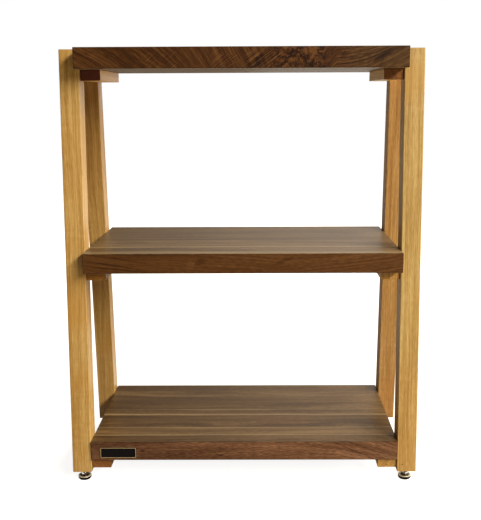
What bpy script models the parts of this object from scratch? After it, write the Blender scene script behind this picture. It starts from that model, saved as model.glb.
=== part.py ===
"""Record rack: three butcher-block shelves between two leaning leg frames.

Metres, +Z up. The origin is on the floor under the middle of the rack, the
front faces -Y and +X is to the right. Each side has two legs that lean
towards each other at the top. Cleats join them, and the shelves rest on the
cleats. Four levelling feet screw into the legs.
"""

import math

import bmesh
import bpy
from mathutils import Euler, Matrix, Vector

# Shelves: width along X, depth along Y, thickness along Z
SHELF_WIDTH = 0.610
SHELF_DEPTH = 0.325
SHELF_THICKNESS = 0.0385
BAY_HEIGHT = 0.342
LOW_SHELF_CLEARANCE = 0.0265
SHELF_EDGE_EASE = 0.0015

# Legs: the depth is measured level, from front face to back face
LEG_WIDTH = 0.038
LEG_DEPTH = 0.0425
LEG_LEAN_DEGREES = 3.75
LEG_FOOT_INSET = 0.0015
LEG_TOP_DROP = 0.0008
LEG_EDGE_EASE = 0.0013

# Cleats: set back from the legs' faces, at the front more than at the back
CLEAT_WIDTH = 0.0375
CLEAT_HEIGHT = 0.0198
CLEAT_FRONT_SETBACK = 0.006
CLEAT_BACK_SETBACK = 0.002
CLEAT_EDGE_EASE = 0.0008

# Clearances between pieces that touch, and how far a cutter runs past a face
GAP = 0.0003
OVERRUN = 0.002

# Dowels that join the cleats to the legs, half in each
DOWEL_RADIUS = 0.003
DOWEL_LENGTH = 0.036
DOWEL_CHAMFER = 0.0006

# Countersunk wood screws that hold the shelves to the cleats
SCREW_RADIUS = 0.0024
SCREW_HEAD_RADIUS = 0.0047
SCREW_HEAD_HEIGHT = 0.0030
SCREW_HEAD_RIM = 0.0006
SCREW_SOCKET_RADIUS = 0.0019
SCREW_SOCKET_DEPTH = 0.0017
SCREW_TIP = 0.006
SCREW_RECESS = 0.0005
SCREW_SEAT = 0.00012
SCREW_BITE = 0.024
SCREW_INSET = 0.022
FASTENER_SIDES = 10

# Levelling feet, from the floor up
PAD_HEIGHT = 0.0053
PAD_RADIUS = 0.0130
PAD_CHAMFER = 0.0022
GLIDE_RADIUS = 0.01325
GLIDE_FLANGE = 0.0020
DOME_RADIUS = 0.0064
DOME_HEIGHT = 0.0080
DOME_TOP_RADIUS = 0.0046
DOME_FILLET = 0.0015
COLLAR_FLAT = 0.0050
COLLAR_HEIGHT = 0.0036
LEVEL_IN = 0.0025
STUD_RADIUS = 0.003175
STUD_IN_LEG = 0.032
STUD_CHAMFER = 0.0008
BUTTON_RADIUS = 0.0043
BUTTON_HEIGHT = 0.0024
INSERT_RADIUS = 0.0050
INSERT_LENGTH = 0.020
HOLE_SPARE = 0.002
FOOT_SIDES = 18
ARC_STEPS = 3

# Blank badge plate on the bottom shelf's front edge
BADGE_WIDTH = 0.072
BADGE_HEIGHT = 0.0225
BADGE_THICKNESS = 0.0010
BADGE_FROM_SHELF_END = 0.0184
BADGE_DROP = 0.003
BADGE_CORNER = 0.0004

# Edges flatter than this are shaded smooth
SMOOTH_DEGREES = 35

# Heights and faces that follow from the sizes above
LEG_BASE_Z = PAD_HEIGHT + GLIDE_FLANGE + DOME_HEIGHT + COLLAR_HEIGHT + LEVEL_IN + 2 * GAP
SHELF_PITCH = BAY_HEIGHT + SHELF_THICKNESS
LEVELS = ("bottom", "middle", "top")
SHELF_BOTTOM_Z = {
    level: LEG_BASE_Z + LOW_SHELF_CLEARANCE + step * SHELF_PITCH
    for step, level in enumerate(LEVELS)
}
LEG_HEIGHT = SHELF_BOTTOM_Z["top"] + SHELF_THICKNESS - LEG_TOP_DROP - LEG_BASE_Z
LEG_LEAN = math.tan(math.radians(LEG_LEAN_DEGREES))
LEG_FACE_Y = SHELF_DEPTH / 2 - LEG_FOOT_INSET
LEG_INNER_X = SHELF_WIDTH / 2 + GAP
LEG_CENTRE_X = LEG_INNER_X + LEG_WIDTH / 2
FOOT_Y = LEG_FACE_Y - LEG_DEPTH / 2
DOWEL_EDGE = (LEG_DEPTH / 2 - INSERT_RADIUS - GAP) / 2
SIDES = {"left": -1, "right": 1}
ENDS = {"front": -1, "back": 1}


def leg_face(z):
    """Distance from the middle plane to a leg's outer (front or back) face at height z."""
    return LEG_FACE_Y - LEG_LEAN * (z - LEG_BASE_Z)


def make_material(name, colour, roughness, metallic=0.0):
    """Principled material with one colour."""
    material = bpy.data.materials.new(name)
    material.use_nodes = True
    shader = material.node_tree.nodes["Principled BSDF"]
    shader.inputs["Base Color"].default_value = (*colour, 1.0)
    shader.inputs["Roughness"].default_value = roughness
    shader.inputs["Metallic"].default_value = metallic
    return material


def add_object(name, mesh, material, parent, location=(0, 0, 0), turn=(0, 0, 0)):
    """Place a mesh in the scene as a named sub-part."""
    mesh.name = name
    piece = bpy.data.objects.new(name, mesh)
    piece.data.materials.append(material)
    piece.location = location
    piece.rotation_euler = Euler(turn)
    piece.parent = parent
    bpy.context.scene.collection.objects.link(piece)
    return piece


def add_empty(name, location, parent=None):
    """Place an empty that carries pieces."""
    empty = bpy.data.objects.new(name, None)
    empty.location = location
    empty.parent = parent
    bpy.context.scene.collection.objects.link(empty)
    return empty


def hexagon_radius(flat, angle):
    """Distance from the middle of a hexagon to its edge, flat being half its width across flats."""
    sixth = math.pi / 3
    return flat / math.cos(angle % sixth - sixth / 2)


def turned_mesh(profile, sides, closed=False, hexagon=()):
    """Revolve (radius, height) points round Z.

    An open profile starts and ends on the axis. A closed one is a ring's section.
    The points whose places in the profile are in hexagon make six-sided rings.
    """
    shape = bmesh.new()
    rings = []
    for place, (radius, height) in enumerate(profile):
        if radius == 0:
            rings.append([shape.verts.new((0, 0, height))] * sides)
            continue
        ring = []
        for side in range(sides):
            angle = 2 * math.pi * side / sides
            reach = hexagon_radius(radius, angle) if place in hexagon else radius
            ring.append(shape.verts.new((reach * math.cos(angle), reach * math.sin(angle), height)))
        rings.append(ring)
    pairs = list(zip(rings, rings[1:]))
    if closed:
        pairs.append((rings[-1], rings[0]))
    for lower, upper in pairs:
        for side in range(sides):
            after = (side + 1) % sides
            corners = [lower[side], lower[after], upper[after], upper[side]]
            shape.faces.new(list(dict.fromkeys(corners)))
    return finish_mesh(shape, smooth=True)


def finish_mesh(shape, smooth=False):
    """Turn a bmesh into a mesh with its faces pointing out."""
    bmesh.ops.recalc_face_normals(shape, faces=shape.faces)
    mesh = bpy.data.meshes.new("shape")
    shape.to_mesh(mesh)
    shape.free()
    if smooth:
        mesh.shade_smooth()
        mesh.set_sharp_from_angle(angle=math.radians(SMOOTH_DEGREES))
    return mesh


def block_mesh(width, depth, height, shift=0.0):
    """Box standing on z = 0, its top moved along Y by shift."""
    shape = bmesh.new()
    bmesh.ops.create_cube(shape, size=1.0)
    for vert in shape.verts:
        lean = shift if vert.co.z > 0 else 0.0
        vert.co = Vector((vert.co.x * width, vert.co.y * depth + lean, (vert.co.z + 0.5) * height))
    return finish_mesh(shape)


def ease_edges(piece, width):
    """Round the piece's edges with a small bevel."""
    bevel = piece.modifiers.new("Eased edges", "BEVEL")
    bevel.width = width
    bevel.segments = 2
    bevel.limit_method = "ANGLE"


def bore(piece, cutters):
    """Cut holes: each cutter is a mesh with its world place."""
    shape = bmesh.new()
    for mesh, place in cutters:
        part = mesh.copy()
        part.transform(place)
        shape.from_mesh(part)
        bpy.data.meshes.remove(part)
    cutter = bpy.data.objects.new("cutter_" + piece.name, finish_mesh(shape))
    cutter.display_type = "WIRE"
    cutter.hide_render = True
    bpy.context.scene.collection.objects.link(cutter)
    cut = piece.modifiers.new("Bores", "BOOLEAN")
    cut.operation = "DIFFERENCE"
    cut.solver = "EXACT"
    cut.object = cutter


def placed(location, turn=(0, 0, 0)):
    """World matrix of a cutter or a screw."""
    return Matrix.Translation(location) @ Euler(turn).to_matrix().to_4x4()


def dowel_mesh():
    """Plain peg with chamfered ends, its middle at z = 0."""
    end = DOWEL_LENGTH / 2
    return turned_mesh([
        (0, -end),
        (DOWEL_RADIUS - DOWEL_CHAMFER, -end),
        (DOWEL_RADIUS, DOWEL_CHAMFER - end),
        (DOWEL_RADIUS, end - DOWEL_CHAMFER),
        (DOWEL_RADIUS - DOWEL_CHAMFER, end),
        (0, end),
    ], FASTENER_SIDES)


def dowel_hole_mesh():
    """Blind hole for the same dowel, in both pieces that it joins."""
    end = DOWEL_LENGTH / 2 + GAP
    return turned_mesh([
        (0, -end),
        (DOWEL_RADIUS + GAP, -end),
        (DOWEL_RADIUS + GAP, end),
        (0, end),
    ], FASTENER_SIDES)


def screw_mesh(length):
    """Countersunk screw: head's top at z = 0, point at z = length."""
    return turned_mesh([
        (0, SCREW_SOCKET_DEPTH),
        (SCREW_SOCKET_RADIUS, SCREW_SOCKET_DEPTH),
        (SCREW_SOCKET_RADIUS, 0),
        (SCREW_HEAD_RADIUS, 0),
        (SCREW_HEAD_RADIUS, SCREW_HEAD_RIM),
        (SCREW_RADIUS, SCREW_HEAD_HEIGHT),
        (SCREW_RADIUS, length - SCREW_TIP),
        (0, length),
    ], FASTENER_SIDES)


def screw_hole_mesh(length):
    """Clearance hole for the same screw, open past the head."""
    return turned_mesh([
        (0, -SCREW_RECESS - OVERRUN),
        (SCREW_HEAD_RADIUS + GAP, -SCREW_RECESS - OVERRUN),
        (SCREW_HEAD_RADIUS + GAP, SCREW_HEAD_RIM + SCREW_SEAT),
        (SCREW_RADIUS + GAP, SCREW_HEAD_HEIGHT + SCREW_SEAT),
        (SCREW_RADIUS + GAP, length + GAP),
        (0, length + GAP),
    ], FASTENER_SIDES)


def dowel_places():
    """Every dowel: name, place, turn, and the two pieces that it joins."""
    places = []
    for level in LEVELS:
        middle_z = SHELF_BOTTOM_Z[level] - GAP - CLEAT_HEIGHT / 2
        leg_y = leg_face(middle_z) - LEG_DEPTH + DOWEL_EDGE
        for side, sign in SIDES.items():
            for end, way in ENDS.items():
                spot = Vector((sign * (SHELF_WIDTH + GAP) / 2, way * leg_y, middle_z))
                hosts = (f"cleat_{level}_{side}", f"leg_{end}_{side}")
                places.append((f"dowel_{level}_{side}_{end}", spot, (0, math.pi / 2, 0), hosts))
    return places


def screw_places():
    """Every screw: name, place, turn, and the two pieces that it joins."""
    places = []
    for level in LEVELS:
        head_z = SHELF_BOTTOM_Z[level] - GAP - CLEAT_HEIGHT + SCREW_RECESS
        screw_y = leg_face(head_z) - LEG_DEPTH - SCREW_INSET
        for side, sign in SIDES.items():
            for end, way in ENDS.items():
                spot = Vector((sign * (SHELF_WIDTH - CLEAT_WIDTH) / 2, way * screw_y, head_z))
                hosts = (f"cleat_{level}_{side}", f"shelf_{level}")
                places.append((f"shelf_screw_{level}_{side}_{end}", spot, (0, 0, 0), hosts))
    return places


def build_shelves(rack, walnut):
    """Three panels, each resting on its two cleats."""
    shelves = {}
    for level in LEVELS:
        mesh = block_mesh(SHELF_WIDTH, SHELF_DEPTH, SHELF_THICKNESS)
        name = f"shelf_{level}"
        shelves[name] = add_object(name, mesh, walnut, rack, (0, 0, SHELF_BOTTOM_Z[level]))
        ease_edges(shelves[name], SHELF_EDGE_EASE)
    return shelves


def build_legs(rack, maple):
    """Four legs, cut level at both ends, leaning towards the middle."""
    legs = {}
    for side, sign in SIDES.items():
        for end, way in ENDS.items():
            mesh = block_mesh(LEG_WIDTH, LEG_DEPTH, LEG_HEIGHT, -way * LEG_LEAN * LEG_HEIGHT)
            name = f"leg_{end}_{side}"
            spot = (sign * LEG_CENTRE_X, way * FOOT_Y, LEG_BASE_Z)
            legs[name] = add_object(name, mesh, maple, rack, spot)
            ease_edges(legs[name], LEG_EDGE_EASE)
    return legs


def build_cleats(rack, maple):
    """Six bearers against the legs' inner faces, just under the shelves."""
    cleats = {}
    for level in LEVELS:
        bottom_z = SHELF_BOTTOM_Z[level] - GAP - CLEAT_HEIGHT
        face = leg_face(bottom_z + CLEAT_HEIGHT)
        front = -face + CLEAT_FRONT_SETBACK
        back = face - CLEAT_BACK_SETBACK
        for side, sign in SIDES.items():
            mesh = block_mesh(CLEAT_WIDTH, back - front, CLEAT_HEIGHT)
            name = f"cleat_{level}_{side}"
            spot = (sign * (SHELF_WIDTH / 2 - CLEAT_WIDTH / 2), (front + back) / 2, bottom_z)
            cleats[name] = add_object(name, mesh, maple, rack, spot)
            ease_edges(cleats[name], CLEAT_EDGE_EASE)
    return cleats


def pad_mesh():
    """Base of the foot: a disc with a chamfered lower edge."""
    return turned_mesh([
        (0, 0),
        (PAD_RADIUS - PAD_CHAMFER, 0),
        (PAD_RADIUS, PAD_CHAMFER),
        (PAD_RADIUS, PAD_HEIGHT),
        (0, PAD_HEIGHT),
    ], FOOT_SIDES)


def glide_mesh():
    """Metal flange with a dome, hollow below for the stud's button."""
    base = PAD_HEIGHT + GAP
    flange_top = base + GLIDE_FLANGE
    dome_top = flange_top + DOME_HEIGHT
    pocket = base + GAP + BUTTON_HEIGHT + GAP
    rim = GLIDE_FLANGE / 2
    outline = [(BUTTON_RADIUS + GAP, base)]
    for step in range(ARC_STEPS + 1):
        angle = math.pi * (step / ARC_STEPS - 0.5)
        outline.append((GLIDE_RADIUS - rim + rim * math.cos(angle), base + rim + rim * math.sin(angle)))
    for step in range(ARC_STEPS + 1):
        angle = math.pi / 2 * step / ARC_STEPS
        outline.append((
            DOME_RADIUS + DOME_FILLET * (1 - math.sin(angle)),
            flange_top + DOME_FILLET * (1 - math.cos(angle)),
        ))
    rise = DOME_HEIGHT - DOME_FILLET
    for step in range(1, ARC_STEPS + 1):
        angle = math.pi / 2 * step / ARC_STEPS
        outline.append((
            DOME_TOP_RADIUS + (DOME_RADIUS - DOME_TOP_RADIUS) * math.cos(angle),
            flange_top + DOME_FILLET + rise * math.sin(angle),
        ))
    outline += [
        (STUD_RADIUS + GAP, dome_top),
        (STUD_RADIUS + GAP, pocket),
        (BUTTON_RADIUS + GAP, pocket),
    ]
    return turned_mesh(outline, FOOT_SIDES, closed=True)


def stud_mesh():
    """Threaded stud: swivel button, shank, hexagon collar, shank into the leg."""
    button_bottom = PAD_HEIGHT + 2 * GAP
    collar_bottom = PAD_HEIGHT + GAP + GLIDE_FLANGE + DOME_HEIGHT + GAP
    collar_top = collar_bottom + COLLAR_HEIGHT
    top = LEG_BASE_Z + STUD_IN_LEG
    below = [
        (0, button_bottom),
        (BUTTON_RADIUS, button_bottom),
        (BUTTON_RADIUS, button_bottom + BUTTON_HEIGHT),
        (STUD_RADIUS, button_bottom + BUTTON_HEIGHT),
        (STUD_RADIUS, collar_bottom),
    ]
    collar = [(COLLAR_FLAT, collar_bottom), (COLLAR_FLAT, collar_top)]
    above = [
        (STUD_RADIUS, collar_top),
        (STUD_RADIUS, top - STUD_CHAMFER),
        (STUD_RADIUS - STUD_CHAMFER, top),
        (0, top),
    ]
    six_sided = range(len(below), len(below) + len(collar))
    return turned_mesh(below + collar + above, FOOT_SIDES, hexagon=six_sided)


def insert_mesh():
    """Threaded sleeve, flush with the leg's foot."""
    bottom = LEG_BASE_Z + GAP
    top = bottom + INSERT_LENGTH
    return turned_mesh([
        (STUD_RADIUS + GAP, bottom),
        (INSERT_RADIUS, bottom),
        (INSERT_RADIUS, top),
        (STUD_RADIUS + GAP, top),
    ], FOOT_SIDES, closed=True)


def foot_hole_mesh():
    """Hole in the leg's foot: wide for the sleeve, narrow above for the stud."""
    sleeve_top = LEG_BASE_Z + INSERT_LENGTH + 2 * GAP
    hole_top = LEG_BASE_Z + STUD_IN_LEG + LEVEL_IN + HOLE_SPARE
    return turned_mesh([
        (0, LEG_BASE_Z - OVERRUN),
        (INSERT_RADIUS + GAP, LEG_BASE_Z - OVERRUN),
        (INSERT_RADIUS + GAP, sleeve_top),
        (STUD_RADIUS + GAP, sleeve_top),
        (STUD_RADIUS + GAP, hole_top),
        (0, hole_top),
    ], FOOT_SIDES)


def build_feet(rack, finishes):
    """Four levelling feet, each carried by an empty on its own upright axis."""
    for side, sign in SIDES.items():
        for end, way in ENDS.items():
            axis = add_empty(f"foot_axis_{end}_{side}", (sign * LEG_CENTRE_X, way * FOOT_Y, 0), rack)
            add_object(f"foot_pad_{end}_{side}", pad_mesh(), finishes["rubber"], axis)
            add_object(f"foot_glide_{end}_{side}", glide_mesh(), finishes["nickel"], axis)
            add_object(f"foot_stud_{end}_{side}", stud_mesh(), finishes["steel"], axis)
            add_object(f"foot_insert_{end}_{side}", insert_mesh(), finishes["brass"], axis)


def build_badge(rack, finish):
    """Blank plate low on the bottom shelf's front edge."""
    mesh = block_mesh(BADGE_WIDTH, BADGE_THICKNESS, BADGE_HEIGHT)
    centre_x = -SHELF_WIDTH / 2 + BADGE_FROM_SHELF_END + BADGE_WIDTH / 2
    centre_z = SHELF_BOTTOM_Z["bottom"] + SHELF_THICKNESS / 2 - BADGE_DROP
    front = -SHELF_DEPTH / 2 - GAP - BADGE_THICKNESS / 2
    plate = add_object("badge_plate", mesh, finish, rack, (centre_x, front, centre_z - BADGE_HEIGHT / 2))
    corner = plate.modifiers.new("Rounded corners", "BEVEL")
    corner.width = BADGE_CORNER
    corner.segments = 2


def build():
    """Clear the scene and build the whole rack."""
    for item in list(bpy.data.objects):
        bpy.data.objects.remove(item)
    finishes = {
        "walnut": make_material("walnut", (0.105, 0.052, 0.026), 0.42),
        "maple": make_material("maple", (0.55, 0.33, 0.13), 0.45),
        "nickel": make_material("nickel", (0.72, 0.67, 0.58), 0.12, 1.0),
        "rubber": make_material("rubber", (0.012, 0.012, 0.013), 0.6),
        "steel": make_material("steel", (0.55, 0.56, 0.58), 0.3, 1.0),
        "brass": make_material("brass", (0.62, 0.45, 0.18), 0.3, 1.0),
        "badge": make_material("badge", (0.015, 0.014, 0.013), 0.35),
    }
    rack = add_empty("record_rack", (0, 0, 0))
    pieces = {}
    pieces.update(build_shelves(rack, finishes["walnut"]))
    pieces.update(build_legs(rack, finishes["maple"]))
    pieces.update(build_cleats(rack, finishes["maple"]))
    build_feet(rack, finishes)
    build_badge(rack, finishes["badge"])

    cutters = {name: [] for name in pieces}
    for name, spot, turn, hosts in dowel_places():
        add_object(name, dowel_mesh(), finishes["maple"], rack, spot, turn)
        for host in hosts:
            cutters[host].append((dowel_hole_mesh(), placed(spot, turn)))
    screw_length = CLEAT_HEIGHT - SCREW_RECESS + GAP + SCREW_BITE
    for name, spot, turn, hosts in screw_places():
        add_object(name, screw_mesh(screw_length), finishes["steel"], rack, spot, turn)
        for host in hosts:
            cutters[host].append((screw_hole_mesh(screw_length), placed(spot, turn)))
    for side, sign in SIDES.items():
        for end, way in ENDS.items():
            place = placed(Vector((sign * LEG_CENTRE_X, way * FOOT_Y, 0)))
            cutters[f"leg_{end}_{side}"].append((foot_hole_mesh(), place))
    for name, piece in pieces.items():
        bore(piece, cutters[name])


build()
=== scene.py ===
# %% [markdown]
# # Dressing a record rack
#
# The rack is three thick walnut shelves held between four leaning legs of pale
# hardwood. Short cleats carry the shelf ends, and four levelling feet keep the
# rack steady on a floor that is never quite flat.
#
# The solids come from a fixed frame, in metres, with the front facing -Y. This
# lesson gives them their looks: boards with soft edges worked out with numpy,
# timber that is solid all the way through, and turned metal feet.

# %% Load the frame
import math
from functools import partialmethod

import bpy
import numpy as np
from mathutils import Matrix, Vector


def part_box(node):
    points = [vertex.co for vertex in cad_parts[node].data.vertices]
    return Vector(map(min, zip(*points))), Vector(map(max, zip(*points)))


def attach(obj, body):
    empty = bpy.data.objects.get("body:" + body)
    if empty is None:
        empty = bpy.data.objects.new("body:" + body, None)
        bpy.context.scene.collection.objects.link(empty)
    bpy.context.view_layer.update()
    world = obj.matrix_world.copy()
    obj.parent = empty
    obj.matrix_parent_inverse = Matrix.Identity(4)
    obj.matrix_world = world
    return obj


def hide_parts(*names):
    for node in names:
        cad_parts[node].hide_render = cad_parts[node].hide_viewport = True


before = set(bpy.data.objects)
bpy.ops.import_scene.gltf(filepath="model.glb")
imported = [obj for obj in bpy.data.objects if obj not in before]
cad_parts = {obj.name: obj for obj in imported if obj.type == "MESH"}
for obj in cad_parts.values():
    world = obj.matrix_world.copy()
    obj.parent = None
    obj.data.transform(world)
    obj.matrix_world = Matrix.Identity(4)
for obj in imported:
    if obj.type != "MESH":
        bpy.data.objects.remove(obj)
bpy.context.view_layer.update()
LEVELS = ("bottom", "middle", "top")
SIDES = ("left", "right")
ENDS = {"front": -1, "back": 1}

# %% [markdown]
# ## The camera
#
# The photograph looks down a little from just under the top shelf, from a step
# and a half away, and slightly from the right. A camera can be placed by eye,
# but here it was solved: the edges of the legs and shelves were measured in the
# picture and a pinhole was fitted to them. The focal length is in pixels of a
# 481 by 520 picture. Blender spreads the sensor's width over the longer side.
# The picture was trimmed a little more on one side, so its middle isn't quite
# the lens's: a small shift puts that back without tilting the shelves.

# %% Place the camera
PICTURE_HEIGHT = 520
FOCAL_PIXELS = 816.7
TRIM_PIXELS = 14.3
SENSOR_MM = 36.0
CAMERA_PLACE = (0.0326, -1.6795, 0.7613)
CAMERA_PITCH = math.radians(11.407)
CAMERA_YAW = math.radians(-0.361)
CAMERA_ROLL = math.radians(-0.263)


def camera_turn(pitch, yaw, roll):
    """Rotation whose columns are the camera's right, up and backward directions.

    Looking along +Y, the camera turns by yaw about Z, dips by pitch and then
    rolls about its own line of sight.
    """
    ahead = np.array((math.sin(yaw) * math.cos(pitch), math.cos(yaw) * math.cos(pitch), -math.sin(pitch)))
    level = np.array((math.cos(yaw), -math.sin(yaw), 0.0))
    upright = np.cross(level, ahead)
    right = level * math.cos(roll) + upright * math.sin(roll)
    up = upright * math.cos(roll) - level * math.sin(roll)
    return Matrix(np.stack((right, up, -ahead), axis=1).tolist())


lens = bpy.data.cameras.new("camera")
lens.sensor_width = SENSOR_MM
lens.lens = FOCAL_PIXELS * SENSOR_MM / PICTURE_HEIGHT
lens.shift_x = -TRIM_PIXELS / PICTURE_HEIGHT
lens.clip_end = 100.0
camera = bpy.data.objects.new("camera", lens)
camera.matrix_world = Matrix.Translation(CAMERA_PLACE) @ camera_turn(
    CAMERA_PITCH, CAMERA_YAW, CAMERA_ROLL).to_4x4()
bpy.context.scene.collection.objects.link(camera)
bpy.context.scene.camera = camera
print("lens", round(lens.lens, 2), "mm")

# %% [markdown]
# ## Surfaces from arrays
#
# Every new piece here is a stack of closed rings: an outline that is carried
# along an axis while it grows, shrinks or turns. The rings are one array of
# shape (rings, points, 3), so a whole board is a few lines of array arithmetic.
# Quads join neighbouring rings, and a point closes each end. A hollow piece has
# no ends: its outline comes back to where it began.

# %% Rings to faces
def ring_faces(rings, points, hollow):
    """Corner numbers of the quads between rings, and of the fans that close both ends.

    In a hollow piece the last ring is joined to the first, so there are no ends.
    """
    row = np.arange(rings if hollow else rings - 1)[:, None] * points
    above = (row + points) % (rings * points)
    here = np.arange(points)[None, :]
    after = (here + 1) % points
    quads = np.stack((row + here, row + after, above + after, above + here), axis=-1).reshape(-1, 4).tolist()
    if hollow:
        return quads
    first, last = rings * points, rings * points + 1
    base = (rings - 1) * points
    low = np.stack((np.full(points, first), after[0], here[0]), axis=-1)
    high = np.stack((np.full(points, last), base + here[0], base + after[0]), axis=-1)
    return quads + low.tolist() + high.tolist()


def lift(flat, height):
    """Flat rings, each raised to its height."""
    return np.concatenate((flat, np.broadcast_to(height[:, None, None], flat.shape[:2] + (1,))), axis=-1)


print("two rings of four points have", len(ring_faces(2, 4, hollow=False)), "faces")

# %% [markdown]
# A finished piece is shown in place of one solid of the frame. It rides on the same
# body, and a slot names its kind of material. Marks are numbers at the piece's
# points that its own material can read.

# %% Faces to a piece
def turn_axes(values, axes):
    """Send a piece's own (across, deep, along) directions to the world axes named in axes."""
    signs = np.array([-1.0 if axis.startswith("-") else 1.0 for axis in axes])
    places = ["xyz".index(axis[-1]) for axis in axes]
    turned = np.empty_like(values)
    turned[..., places] = values * signs
    return turned


def make_piece(name, rings, material, body, node, normals=None, marks=None, smooth_angle=40,
               hollow=False):
    """Put rings into a mesh object that rides on a body and stands for a CAD node."""
    ends = np.stack((rings[0].mean(axis=0), rings[-1].mean(axis=0)))[:0 if hollow else 2]
    places = np.concatenate((rings.reshape(-1, 3), ends))
    mesh = bpy.data.meshes.new(name)
    mesh.from_pydata(places.tolist(), [], ring_faces(*rings.shape[:2], hollow))
    mesh.shade_smooth()
    if normals is None:
        mesh.set_sharp_from_angle(angle=math.radians(smooth_angle))
    else:
        axis = ends[1] - ends[0]
        axis = axis / np.linalg.norm(axis)
        whole = np.concatenate((normals.reshape(-1, 3), -axis[None], axis[None]))
        mesh.normals_split_custom_set_from_vertices(whole.tolist())
    for label, values in (marks or {}).items():
        layer = mesh.attributes.new(label, "FLOAT", "POINT")
        whole = np.concatenate((values.ravel(), np.zeros(len(ends))))
        layer.data.foreach_set("value", whole.astype(np.float32))
    mesh.materials.append(material)
    piece = bpy.data.objects.new(name, mesh)
    bpy.context.scene.collection.objects.link(piece)
    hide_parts(node)
    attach(piece, body)
    return piece


print(len(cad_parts), "solids to dress")

# %% [markdown]
# ## A board with eased edges
#
# A sanded board has no sharp edge: a small round runs along every arris and it
# is what catches the light. The outline is a rectangle with round corners. At
# both ends it shrinks along a quarter circle, so the end edges are round as well.
# The normals are written from the same formula, which keeps the flats flat.

# %% Board formula
ARC_POINTS = 6
CORNER_EASE = 1.1


def round_outline(across, deep, corner):
    """Rectangle with round corners, as points, outward normals and a mark that is 1 mid-corner.

    Each corner is a quarter circle; across, deep and corner may be columns, one row for each ring.
    """
    quarter = np.linspace(0.0, np.pi / 2, ARC_POINTS)
    angle = (np.arange(4)[:, None] * np.pi / 2 + quarter[None, :]).ravel()
    side_x = np.repeat((1.0, -1.0, -1.0, 1.0), ARC_POINTS)
    side_y = np.repeat((1.0, 1.0, -1.0, -1.0), ARC_POINTS)
    facing = np.stack((np.cos(angle), np.sin(angle)), axis=-1)
    points_x = side_x * (across / 2 - corner) + corner * facing[:, 0]
    points_y = side_y * (deep / 2 - corner) + corner * facing[:, 1]
    return np.stack((points_x, points_y), axis=-1), facing, np.tile(np.sin(2 * quarter), 4)


def eased_board(across, deep, along, ease):
    """Rings, normals and marks of a board that stands on 0 and reaches along.

    The end rings are inset by ease * (1 - sin t) and lie ease * (1 - cos t) from the end. One mark is 1
    along the round edges, the other on the two faces that the deep direction crosses.
    """
    turn = np.linspace(0.0, np.pi / 2, ARC_POINTS)
    inset = ease * (1 - np.sin(turn))
    rise = ease * (1 - np.cos(turn))
    inset = np.concatenate((inset, inset[::-1]))[:, None]
    height = np.concatenate((rise, along - rise[::-1]))
    corner = ease * CORNER_EASE - inset
    flat, facing, corner_mark = round_outline(across - 2 * inset, deep - 2 * inset, corner)
    rings = lift(flat, height)
    lean_out = np.concatenate((np.sin(turn), np.sin(turn[::-1])))
    lean_along = np.concatenate((-np.cos(turn), np.cos(turn[::-1])))
    normals = np.empty_like(rings)
    normals[..., :2] = facing[None] * lean_out[:, None, None]
    normals[..., 2] = lean_along[:, None]
    end_mark = np.sin(2 * np.concatenate((turn, turn[::-1])))
    marks = np.maximum(corner_mark[None, :], end_mark[:, None])
    return rings, normals, {"edge": marks, "wide": np.abs(normals[..., 1])}


print("board outline has", 4 * ARC_POINTS, "points")

# %% [markdown]
# ## Numbers that change over a surface
#
# A pattern is arithmetic on numbers that differ from point to point, and each step
# is a Math node. Written node by node it would be hard to read, so a small class
# holds a node's output and turns plain arithmetic into linked nodes: with two of
# them, `lines * 0.3 + bands` adds a product and a sum to the tree.

# %% Fields
def fill(node, inputs):
    """Give each named input of a node a field, a colour or a plain value."""
    for key, value in inputs.items():
        socket = node.inputs[key]
        if isinstance(value, Field):
            value.tree.links.new(value.socket, socket)
        elif socket.type == "RGBA":
            socket.default_value = (*value, 1.0)
        else:
            socket.default_value = value


def field(tree, kind, output, inputs=None, **settings):
    """Add a node, set its properties and inputs, and give one of its outputs as a field."""
    node = tree.nodes.new(kind)
    for key, value in settings.items():
        setattr(node, key, value)
    fill(node, inputs or {})
    return Field(tree, node.outputs[output])


class Field:
    """A node's output. Arithmetic with it adds Math nodes to its tree and gives a new field."""

    def __init__(self, tree, socket):
        self.tree = tree
        self.socket = socket

    def math(self, operation, *others):
        """One Math node, with this field as its first input."""
        return field(self.tree, "ShaderNodeMath", 0, dict(enumerate((self, *others))), operation=operation)

    __add__ = partialmethod(math, "ADD")
    __sub__ = partialmethod(math, "SUBTRACT")
    __mul__ = partialmethod(math, "MULTIPLY")
    __truediv__ = partialmethod(math, "DIVIDE")
    __lt__ = partialmethod(math, "LESS_THAN")
    __gt__ = partialmethod(math, "GREATER_THAN")
    __abs__ = partialmethod(math, "ABSOLUTE")

    def __rsub__(self, other):
        return self * -1.0 + other

    def remap(self, low, high, to_low=0.0, to_high=1.0):
        """This field carried smoothly from the range low..high to to_low..to_high."""
        inputs = {"Value": self, "From Min": low, "From Max": high, "To Min": to_low, "To Max": to_high}
        return field(self.tree, "ShaderNodeMapRange", "Result", inputs, interpolation_type="SMOOTHSTEP")

    def near(self, centre, reach):
        """1 where this field is centre, falling smoothly to 0 at the distance reach."""
        return abs(self - centre).remap(reach, reach * 0.45)

    def within(self, outer_low, low, high, outer_high):
        """1 from low to high, fading to 0 at the outer two."""
        return self.remap(outer_low, low) * self.remap(outer_high, high)


print("a field can", [name for name in vars(Field) if not name.startswith("_")])

# %% [markdown]
# Places, noises, colours and marks are fields too. Each of these helpers adds one or
# two nodes and takes the tree from its inputs.

# %% Places, noises and colours
def tree_of(*values):
    """Tree of the first field among some values."""
    return next(value.tree for value in values if isinstance(value, Field))


def split(place):
    """The three numbers of a place."""
    node = field(place.tree, "ShaderNodeSeparateXYZ", 0, {0: place}).socket.node
    return [Field(place.tree, socket) for socket in node.outputs]


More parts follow.
